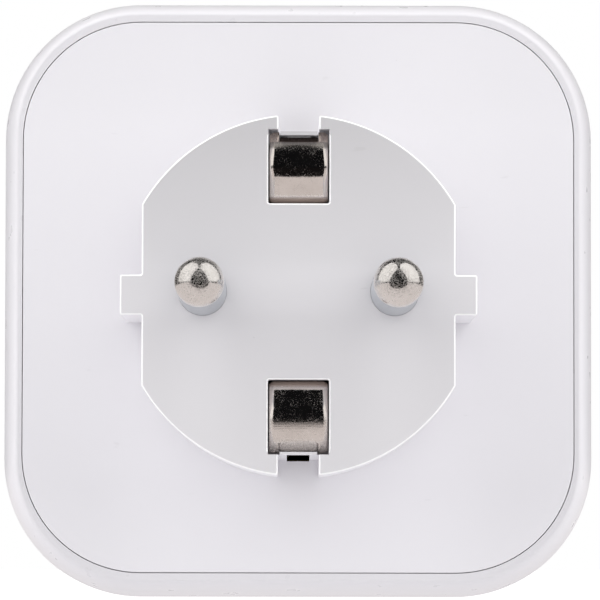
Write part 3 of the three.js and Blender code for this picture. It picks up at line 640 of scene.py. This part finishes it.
def boss_outline():
    start, end = math.acos(BOSS_FLAT / BOSS_RADIUS), math.acos(NOTCH_HALF / BOSS_RADIUS)
    quarter = arc(BOSS_RADIUS, start, end, 28)
    depth = WINDOW_OUTER[1] - 0.6
    upper = [(RIB_REACH, RIB_HALF), (BOSS_FLAT, RIB_HALF), *quarter]
    upper += [(NOTCH_HALF, depth), (-NOTCH_HALF, depth)]
    upper += [(-x, z) for x, z in reversed(quarter)]
    upper += [(-BOSS_FLAT, RIB_HALF), (-RIB_REACH, RIB_HALF)]
    lower = [(-x, -z) for x, z in upper]
    return [(x, z - BOSS_DROP) for x, z in upper + lower]


def boss_hollow():
    radius, flat, gap = BOSS_RADIUS - 1.8, BOSS_FLAT - 1.8, NOTCH_HALF + 1.1
    quarter = arc(radius, math.acos(flat / radius), math.acos(gap / radius), 12)
    upper = [*quarter, (gap, NOTCH_INNER), (-gap, NOTCH_INNER), *[(-x, z) for x, z in reversed(quarter)]]
    return upper + [(-x, -z) for x, z in upper]


def side_block(side, low, high):
    """A block whose z range is measured outwards from the middle on one side."""
    z0, z1 = sorted((side * low[2], side * high[2]))
    return block("c", (low[0], low[1], z0), (high[0], high[1], z1))


def notch_floor(side):
    """Wall under a notch; its outer face rises by the draft towards the cover."""
    half = NOTCH_HALF + 0.1
    inner = side * NOTCH_INNER
    loops = []
    for y, rise in ((FACE_Y, 0.0), (REAR_Y + 0.6, NOTCH_DRAFT)):
        outer = side * (NOTCH_FLOOR[side] + rise)
        loops.append([(-half, y, inner), (half, y, inner), (half, y, outer), (-half, y, outer)])
    return loft("c", loops)


def build_cover():
    boss = prism_y("cover_and_boss", boss_outline(), FACE_Y, REAR_Y + 1.2)
    y0, y1 = FACE_Y - 1, FACE_Y + WINDOW_DEPTH
    windows = []
    for side in (-1, 1):
        high = (WINDOW_HALF, y1, WINDOW_OUTER[side])
        windows.append(side_block(side, (-WINDOW_HALF, y0, WINDOW_INNER), high))
    boolean(boss, windows)
    soften(boss, BOSS_EDGE, angle=40, segments=5)
    boolean(boss, [notch_floor(1), notch_floor(-1)], "UNION")
    details = []
    for side in (-1, 1):
        low = (-TONGUE_HALF - 0.3, y0, WINDOW_OUTER[side] - 1.3)
        details.append(side_block(side, low, (TONGUE_HALF + 0.3, y1, WINDOW_OUTER[side])))
        for x0, x1 in ((-WINDOW_HALF, -TONGUE_HALF), (TONGUE_HALF, WINDOW_HALF)):
            details.append(side_block(side, (x0, y0, WINDOW_OUTER[side] - 0.4), (x1, y1, WINDOW_CORNER)))
        hole = circle(PIN_RADIUS + 0.02, side * PIN_X, 0, 64)
        details.append(prism_y("c", hole, FACE_Y - 1, FACE_Y + 3.4))
    boolean(boss, details)
    soften(boss, 0.06, angle=60, segments=2)
    half, corner = COVER_HALF + COVER_SWELL, COVER_CORNER + COVER_SWELL
    plate_outline = rounded_rect(half, half, corner, BODY_Z, 24)
    plate = prism_y("plate", plate_outline, REAR_Y, REAR_Y + COVER_THICKNESS)
    soften(plate, 0.03, angle=40, segments=2)
    boolean(boss, [plate], "UNION")
    inner_end = REAR_Y + COVER_THICKNESS + 1
    inner = [prism_y("c", boss_hollow(), FACE_Y + 2.4, inner_end)]
    for side in (-1, 1):
        low = (-SLOT_HALF, FACE_Y + SLOT_START, NOTCH_INNER - 1)
        high = (SLOT_HALF, inner_end, NOTCH_FLOOR[side] + NOTCH_DRAFT + 0.1)
        inner.append(side_block(side, low, high))
    boolean(boss, inner)
    return install(boss, white_cover.material, ["rear_cover"])


build_cover()


# ------------------------------------------------------------------ plug pins
def build_pin(node, side):
    tip_y = PIN_LOW.y
    profile = []
    for i in range(25):
        a = math.pi / 2 * i / 24
        profile.append((PIN_RADIUS * math.sin(a), tip_y + PIN_RADIUS * (1 - math.cos(a))))
    profile[0] = (0.0, tip_y)
    for y in (tip_y + 4, -10, -5, -1, FACE_Y + 2.7):
        profile.append((PIN_RADIUS, y))
    profile += [(3.1, FACE_Y + 2.7), (3.3, FACE_Y + 2.9), (3.3, FACE_Y + 4.3), (3.1, FACE_Y + 4.5)]
    profile += [(1.8, FACE_Y + 4.5), (1.8, PIN_HIGH.y - 0.2), (1.6, PIN_HIGH.y), (0.0, PIN_HIGH.y)]
    pin = lathe(node + "_turned", profile, side * PIN_X, 0, 72)
    return install(pin, nickel_pin.material, [node], weighted=False)


build_pin("line_pin", -1)
build_pin("neutral_pin", 1)


# ---------------------------------------------------------------- earth clips
CLIP_HALF = 2.9
CLIP_NECK = 1.9
CLIP_EAR = 1.95
CLIP_TAIL_Z = 14.4
CLIP_DOME = (4.13, 12.64, 3.78)
CLIP_LIP = (1.878, 9.72, 0.6)
CLIP_BEND_RADIUS = 0.35
CLIP_SLOPE = -22
NECK_ANGLE = 38
NECK_RUN = {1: 0.0, -1: 0.5}
EAR_ANGLE = 53


def arc_line(centre, start, end, steps):
    y, z, radius = centre
    points = []
    for i in range(steps + 1):
        a = math.radians(start + (end - start) * i / steps)
        points.append((y - radius * math.cos(a), z + radius * math.sin(a)))
    return points


def build_clip(node, side):
    """Bowed contact strip: lip, dome with an ear at each corner, and a neck."""
    front_line = [(4.4, CLIP_LIP[1] - CLIP_LIP[2]), (3.0, CLIP_LIP[1] - CLIP_LIP[2])]
    front_line += arc_line(CLIP_LIP, -90, CLIP_SLOPE, 8)
    front_line += arc_line(CLIP_DOME, CLIP_SLOPE, EAR_ANGLE, 50)
    clip = strip(node + "_bent", front_line, CLIP_HALF, 0.6, 0.5)
    y, z, radius = CLIP_DOME
    neck = math.radians(NECK_ANGLE)
    gap_z = z + radius * math.sin(neck)
    boolean(clip, [block("c", (-CLIP_EAR, -1, gap_z), (CLIP_EAR, 5, 18))])
    soften(clip, 0.07, angle=60, segments=2)
    reach, run = radius - CLIP_BEND_RADIUS, NECK_RUN[side]
    bend_y = y - reach * math.cos(neck) + run * math.sin(neck)
    bend_z = z + reach * math.sin(neck) + run * math.cos(neck)
    neck_line = arc_line(CLIP_DOME, NECK_ANGLE - 15, NECK_ANGLE, 8)
    neck_line += arc_line((bend_y, bend_z, CLIP_BEND_RADIUS), NECK_ANGLE, 120, 12)[1:]
    neck_line += [(2.4, 14.6), (3.0, CLIP_TAIL_Z), (8.0, CLIP_TAIL_Z), (24.5, CLIP_TAIL_Z)]
    boolean(clip, [strip("c", neck_line, CLIP_NECK, 0.58, 0.2)], "UNION")
    if side < 0:
        mirror_z(clip)
    return install(clip, nickel_clip.material, [node], angle=45, weighted=False)


build_clip("earth_clip_upper", 1)
build_clip("earth_clip_lower", -1)


# --------------------------------------------------------------- front socket
def build_cup():
    back = CUP_LOW.y
    profile = [(0, back), (21, back), (21, FRONT_Y - 1), (CUP_FLANGE, FRONT_Y - 1)]
    profile += [(CUP_FLANGE, FRONT_Y - 0.1), (CUP_FLANGE - 0.25, FRONT_Y + 0.18)]
    profile += [(CUP_FLANGE - 0.6, FRONT_Y + 0.3)]
    profile += [(RECESS_RADIUS + 0.9, FRONT_Y + 0.3), (RECESS_RADIUS + 0.45, FRONT_Y + 0.15)]
    profile += [(RECESS_RADIUS + 0.12, FRONT_Y - 0.25), (RECESS_RADIUS, FRONT_Y - 0.8)]
    profile += [(RECESS_RADIUS, CUP_FLOOR_Y + 0.5), (RECESS_RADIUS - 0.5, CUP_FLOOR_Y), (0, CUP_FLOOR_Y)]
    cup = lathe("socket_insert", profile, count=96)
    ribs, cuts = [], []
    for side in (-1, 1):
        x0, x1 = sorted((side * 17.9, side * (RECESS_RADIUS + 0.7)))
        ribs.append(block("c", (x0, CUP_FLOOR_Y - 1, -2), (x1, FRONT_Y - 2.5, 2)))
        cuts.append(prism_y("c", circle(SOCKET_HOLE, side * PIN_X, 0, 40), back - 1, CUP_FLOOR_Y + 1))
        z0, z1 = sorted((side * 17.2, side * 19.35))
        cuts.append(block("c", (-2.9, back - 1, z0), (2.9, CUP_FLOOR_Y + 1, z1)))
        sx, sz = side * CUP_SCREW[0], -side * CUP_SCREW[1]
        cuts.append(prism_y("c", circle(1.75, sx, sz, 32), back - 1, CUP_FLOOR_Y + 1))
        cuts.append(prism_y("c", circle(2.35, sx, sz, 32), CUP_FLOOR_Y - 1.9, CUP_FLOOR_Y + 1))
    boolean(cup, ribs, "UNION")
    boolean(cup, cuts)
    soften(cup, 0.3, angle=50, segments=3)
    return install(cup, white_socket.material, ["socket_cup"])


build_cup()


def build_socket_earth(node, side):
    points = [(19.9, 15.4), (25, 15.4), (30, 15.4), (34.5, 18.3), (40, 18.45), (46, 18.5)]
    points += [(50, 17.9), (53, 17.1), (55, 17.4), (57, 18.3)]
    path = smooth_path(points, 6)
    spring = strip(node + "_sprung", path, 2.5, 0.6, 0.12)
    if side < 0:
        mirror_z(spring)
    return install(spring, nickel_spring.material, [node], angle=45, weighted=False)


build_socket_earth("socket_earth_upper", 1)
build_socket_earth("socket_earth_lower", -1)


def build_cup_screw(node):
    low, high = node_box(node)
    cx, cz = (low.x + high.x) / 2, (low.z + high.z) / 2
    top = high.y
    profile = [(0, low.y), (0.6, low.y), (1.45, low.y + 1.2)]
    y = low.y + 1.6
    while y < top - 3:
        profile += [(1.45, y), (1.2, y + 0.3), (1.45, y + 0.6)]
        y += 0.8
    profile += [(1.45, top - 1.45), (2.15, top - 1.45), (2.15, top - 0.35), (2.02, top - 0.12)]
    profile += [(1.75, top), (0, top)]
    screw = lathe(node + "_cross", profile, cx, cz, 40)
    arms = [
        block("c", (cx - 1.25, top - 0.9, cz - 0.26), (cx + 1.25, top + 1, cz + 0.26)),
        block("c", (cx - 0.26, top - 0.9, cz - 1.25), (cx + 0.26, top + 1, cz + 1.25)),
    ]
    boolean(screw, arms)
    soften(screw, 0.06, angle=50, segments=2)
    return install(screw, steel.material, [node])


build_cup_screw("cup_screw_upper")
build_cup_screw("cup_screw_lower")


# ------------------------------------------------------------ display and keys
def build_lens():
    outline = rounded_rect(
        LENS_HIGH.x, (LENS_HIGH.y - LENS_LOW.y) / 2, 1.6, (LENS_HIGH.y + LENS_LOW.y) / 2, 8
    )
    lens = prism_z("window_lens", outline, LENS_LOW.z, LENS_HIGH.z)
    soften(lens, 0.15, angle=50)
    return install(lens, clear_lens, ["display_window"])


build_lens()

SEGMENTS = {
    "a": (0, 2, 1, 0),
    "b": (1, 1, 0, 1),
    "c": (1, 0, 0, 1),
    "d": (0, 0, 1, 0),
    "e": (0, 0, 0, 1),
    "f": (0, 1, 0, 1),
    "g": (0, 1, 1, 0),
}


def build_lcd():
    """Glass panel with a blank seven-segment field laid out on it."""
    half_y = (LCD_HIGH.y - LCD_LOW.y) / 2
    mid_y = (LCD_HIGH.y + LCD_LOW.y) / 2
    outline = rounded_rect(LCD_HIGH.x, half_y, 0.3, mid_y, 3)
    panel = prism_z("lcd_glass", outline, LCD_LOW.z, LCD_HIGH.z)
    soften(panel, 0.08, angle=50)
    install(panel, lcd_back, ["lcd_panel"])
    verts, faces = [], []
    width, height, bar = 2.6, 3.1, 0.5
    top = LCD_HIGH.z + 0.015

    def hexagon(x, y, length, vertical):
        h = bar / 2
        shape = [(h, 0), (bar, h), (length - bar, h), (length - h, 0), (length - bar, -h), (bar, -h)]
        base = len(verts)
        for u, v in shape:
            px, py = (x + v, y + u) if vertical else (x + u, y + v)
            verts.append((-px, 2 * mid_y - py, top))
        faces.append(tuple(range(base, base + 6)))

    for digit in range(4):
        x0 = -9.6 + digit * 5.0
        y0 = mid_y - 2.3
        for column, row, flat, upright in SEGMENTS.values():
            if flat:
                hexagon(x0, y0 + row * height, width, False)
            else:
                hexagon(x0 + column * width, y0 + row * height, height, True)
    for k in range(3):
        hexagon(-9.6 + k * 4.2, mid_y - 5.0, 3.2, False)
    segments = make_object("lcd_segment_field", verts, faces)
    return install(segments, lcd_segment, weighted=False)


build_lcd()


def build_key(name, mark):
    """Round key cap, dished on top, with a raised mark to feel for."""
    low, high = node_box("key_" + name)
    cx, cy = (low.x + high.x) / 2, (low.y + high.y) / 2
    rim = high.z
    wall = TOP_Z - 2
    profile = [(0, low.z), (0.9, low.z), (0.9, wall - 1.1), (3.5, wall - 1.1), (3.5, wall - 0.25)]
    profile += [(2.9, wall - 0.25), (2.9, rim - 0.3), (2.84, rim - 0.13), (2.7, rim - 0.03), (2.5, rim)]
    for i in range(1, 9):
        r = 2.5 * (1 - i / 8)
        profile.append((r, rim - 0.22 * (1 - (r / 2.5) ** 2)))
    turned = [(r, z) for r, z in profile]
    key = lathe("key_cap_" + name, turned, 0, 0, 56)
    for v in key.data.vertices:
        x, y, z = v.co
        v.co = Vector((x + cx * MM, -z + cy * MM, y))
    turn_faces_out(key.data)
    marks = []
    z0, z1 = rim - 0.4, rim - 0.05
    if mark == "dot":
        marks.append(prism_z("c", circle(0.5, cx, cy, 24), z0, z1))
    elif mark == "bar":
        marks.append(prism_z("c", rounded_rect(1.1, 0.28, 0.27, cy, 5), z0, z1))
    else:
        ring = prism_z("c", circle(0.95, cx, cy, 32), z0, z1)
        boolean(ring, [prism_z("c", circle(0.6, cx, cy, 24), z0 - 1, z1 + 1)])
        marks.append(ring)
    boolean(key, marks, "UNION")
    return install(key, key_plastic.material, ["key_" + name], body=name + "_key")


build_key("mode", "ring")
build_key("set", "bar")
build_key("reset", "dot")


# ------------------------------------------- CAD nodes that keep their shape
INNER_LOOKS = {
    "pin_carrier": inner_plastic.material,
    "shutter": inner_plastic.material,
    "shutter_tray": inner_plastic.material,
    "cell_holder": inner_plastic.material,
    "lcd_frame": inner_plastic.material,
    "earth_strap": nickel_spring.material,
    "line_contact": brass.material,
    "neutral_contact": brass.material,
    "line_busbar": brass.material,
    "neutral_busbar": brass.material,
    "shunt_resistor": manganin.material,
    "shutter_spring": steel.material,
    "coin_cell": steel.material,
    "board_screw_left": steel.material,
    "board_screw_right": steel.material,
    "main_board": board_green,
    "display_board": board_green,
    "metering_chip": black_plastic.material,
    "switch_mode": black_plastic.material,
    "switch_set": black_plastic.material,
    "switch_reset": black_plastic.material,
    "x_capacitor": ochre_plastic.material,
    "fuse": ochre_plastic.material,
    "electrolytic_capacitor": blue_plastic.material,
    "varistor": blue_plastic.material,
    "ribbon_link": rubber.material,
    "zebra_front": rubber.material,
    "zebra_rear": rubber.material,
}

for name, material in INNER_LOOKS.items():
    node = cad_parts[name]
    node.data.materials.clear()
    node.data.materials.append(material)
    if name != "shutter_spring":
        edge = node.modifiers.new("edge", "BEVEL")
        edge.width = 0.08 * MM
        edge.segments = 2
        edge.limit_method = "ANGLE"
        edge.angle_limit = math.radians(50)


# ------------------------------------------------------------- stage and light
def emission_material(name, colour, strength):
    material = bpy.data.materials.new(name)
    material.use_nodes = True
    tree = material.node_tree
    tree.nodes.clear()
    out = tree.nodes.new("ShaderNodeOutputMaterial")
    emit = tree.nodes.new("ShaderNodeEmission")
    emit.inputs["Color"].default_value = (*colour, 1)
    emit.inputs["Strength"].default_value = strength
    tree.links.new(emit.outputs[0], out.inputs["Surface"])
    return material


def stage_object(name, verts, faces, material):
    obj = make_object(name, verts, faces)
    obj.data.materials.append(material)
    return obj


def seen_by(obj, *rays):
    """Leaves the object visible to the named kinds of ray only."""
    for kind in ("camera", "diffuse", "glossy", "transmission", "volume_scatter", "shadow"):
        setattr(obj, "visible_" + kind, kind in rays)


FLOOR_Z = SHELL_LOW.z


def sheet(name, half_x, y0, y1, z, material):
    corners = [(-half_x, y0, z), (half_x, y0, z), (half_x, y1, z), (-half_x, y1, z)]
    return stage_object(name, corners, [(0, 1, 2, 3)], material)


floor_look = Graph("pale_floor")
floor_greys = [(0.3, (0.34, 0.34, 0.34)), (0.7, (0.36, 0.36, 0.36))]
floor_tone = floor_look.ramp(floor_look.noise(0.01), floor_greys)
floor_look.connect(Base_Color=floor_tone, Roughness=0.7)
floor_look.connect(Emission_Color=(1, 1, 1, 1), Emission_Strength=1.0)
floor_look.material.cycles.emission_sampling = "NONE"
floor = sheet("floor", 350, -400, 500, FLOOR_Z - 0.02, floor_look.material)
seen_by(floor, "camera")


def table_material():
    """Table top as the metal reflects it: pale, and dark beyond its near edge."""
    g = Graph("table_card")
    x, y, _ = g.axes()
    across = g.math("DIVIDE", x, 50 * MM)
    near = g.math("DIVIDE", g.math("ADD", y, 19 * MM), -47 * MM)
    edge = g.math("SQRT", g.math("ADD", g.math("MULTIPLY", across, across), 1.0))
    pale = g.range(g.math("SUBTRACT", near, edge), -0.08, 0.08, 1.0, 0.0)
    colour = g.mix(pale, (0.008, 0.007, 0.007), (0.72, 0.67, 0.655))
    g.connect(Base_Color=(0, 0, 0, 1), Roughness=1.0, Emission_Color=colour, Emission_Strength=1.0)
    g.bsdf.inputs["Specular IOR Level"].default_value = 0.0
    g.material.cycles.emission_sampling = "NONE"
    return g.material


table = sheet("table_card", 350, -400, 500, FLOOR_Z - 0.5, table_material())
seen_by(table, "glossy")

bounce_light = emission_material("bounce", (0.98, 0.97, 0.99), 1.02)
bounce = sheet("bounce_card", 350, -400, 500, FLOOR_Z - 0.6, bounce_light)
seen_by(bounce, "diffuse")

back_wall_light = emission_material("back_wall", (1.0, 0.96, 0.93), 0.16)
back_wall_light.cycles.emission_sampling = "NONE"
back_wall = stage_object(
    "back_wall",
    [(-900, 700, -60), (900, 700, -60), (900, 700, 900), (-900, 700, 900)],
    [(0, 1, 2, 3)],
    back_wall_light,
)
seen_by(back_wall, "glossy")

# Each softbox lights the plastic with one panel, and a dimmer twin of the
# panel is what the metal mirrors.
soft_light = emission_material("softbox", (1.0, 0.995, 0.995), 2.34)
mirror_light = emission_material("softbox_mirrored", (1.0, 0.985, 0.965), 1.0)
mirror_light.cycles.emission_sampling = "NONE"
for name, side in (("left", -1), ("right", 1)):
    corners = [
        (side * 700, -750, 12),
        (side * 700, 210, 12),
        (side * 256, 232, 720),
        (side * 70, -95, 850),
        (side * 70, -450, 780),
    ]
    panel = stage_object("softbox_" + name, corners, [(0, 1, 2, 3, 4)], soft_light)
    seen_by(panel, "diffuse", "transmission", "volume_scatter")
    twin = stage_object("softbox_mirrored_" + name, corners, [(0, 1, 2, 3, 4)], mirror_light)
    seen_by(twin, "glossy")


def fill_light(name, y, z, power):
    """A wide soft light aimed at the object, which only matt surfaces show."""
    data = bpy.data.lights.new(name, "AREA")
    data.shape = "DISK"
    data.size = 0.7
    data.energy = power
    light = bpy.data.objects.new(name, data)
    bpy.context.scene.collection.objects.link(light)
    light.location = (0.0, y, z)
    light.rotation_mode = "QUATERNION"
    light.rotation_quaternion = (-light.location).to_track_quat("-Z", "Y")
    light.visible_glossy = False
    light.visible_camera = False


fill_light("fill", -0.85, 0.1, 0.65)
fill_light("fill_behind", 1.15, 0.06, 4.2)

backdrop_white = emission_material("backdrop_white", (1.0, 1.0, 1.0), 1.0)
backdrop_white.cycles.emission_sampling = "NONE"
bm = bmesh.new()
bmesh.ops.create_icosphere(bm, subdivisions=4, radius=3.0)
backdrop_mesh = bpy.data.meshes.new("backdrop")
bm.to_mesh(backdrop_mesh)
bm.free()
backdrop = bpy.data.objects.new("backdrop", backdrop_mesh)
bpy.context.scene.collection.objects.link(backdrop)
backdrop.data.materials.append(backdrop_white)
seen_by(backdrop, "camera")

world = bpy.data.worlds.new("studio")
bpy.context.scene.world = world
world.use_nodes = True
world.node_tree.nodes["Background"].inputs["Color"].default_value = (0.9, 0.92, 1.0, 1)
world.node_tree.nodes["Background"].inputs["Strength"].default_value = 0.006


# --------------------------------------------------------------------- camera
camera_data = bpy.data.cameras.new("camera")
camera_data.sensor_width = 36.0
camera_data.lens = 283.5
camera_data.clip_start = 0.01
camera_data.clip_end = 20.0
camera = bpy.data.objects.new("camera", camera_data)
bpy.context.scene.collection.objects.link(camera)
COVER_CENTRE = Vector((0, REAR_Y, BODY_Z))
camera.location = (COVER_CENTRE + Vector((-0.92, -482.9, -25.15))) * MM
target = (COVER_CENTRE + Vector((0.177, 0, -0.32))) * MM
look = (target - camera.location).to_track_quat("-Z", "Y")
camera.rotation_mode = "QUATERNION"
camera.rotation_quaternion = look @ Quaternion((0, 0, 1), math.radians(0.1))
bpy.context.scene.camera = camera

bpy.context.scene.view_settings.view_transform = "Standard"
bpy.context.scene.view_settings.look = "None"
bpy.context.scene.view_settings.exposure = 0.0
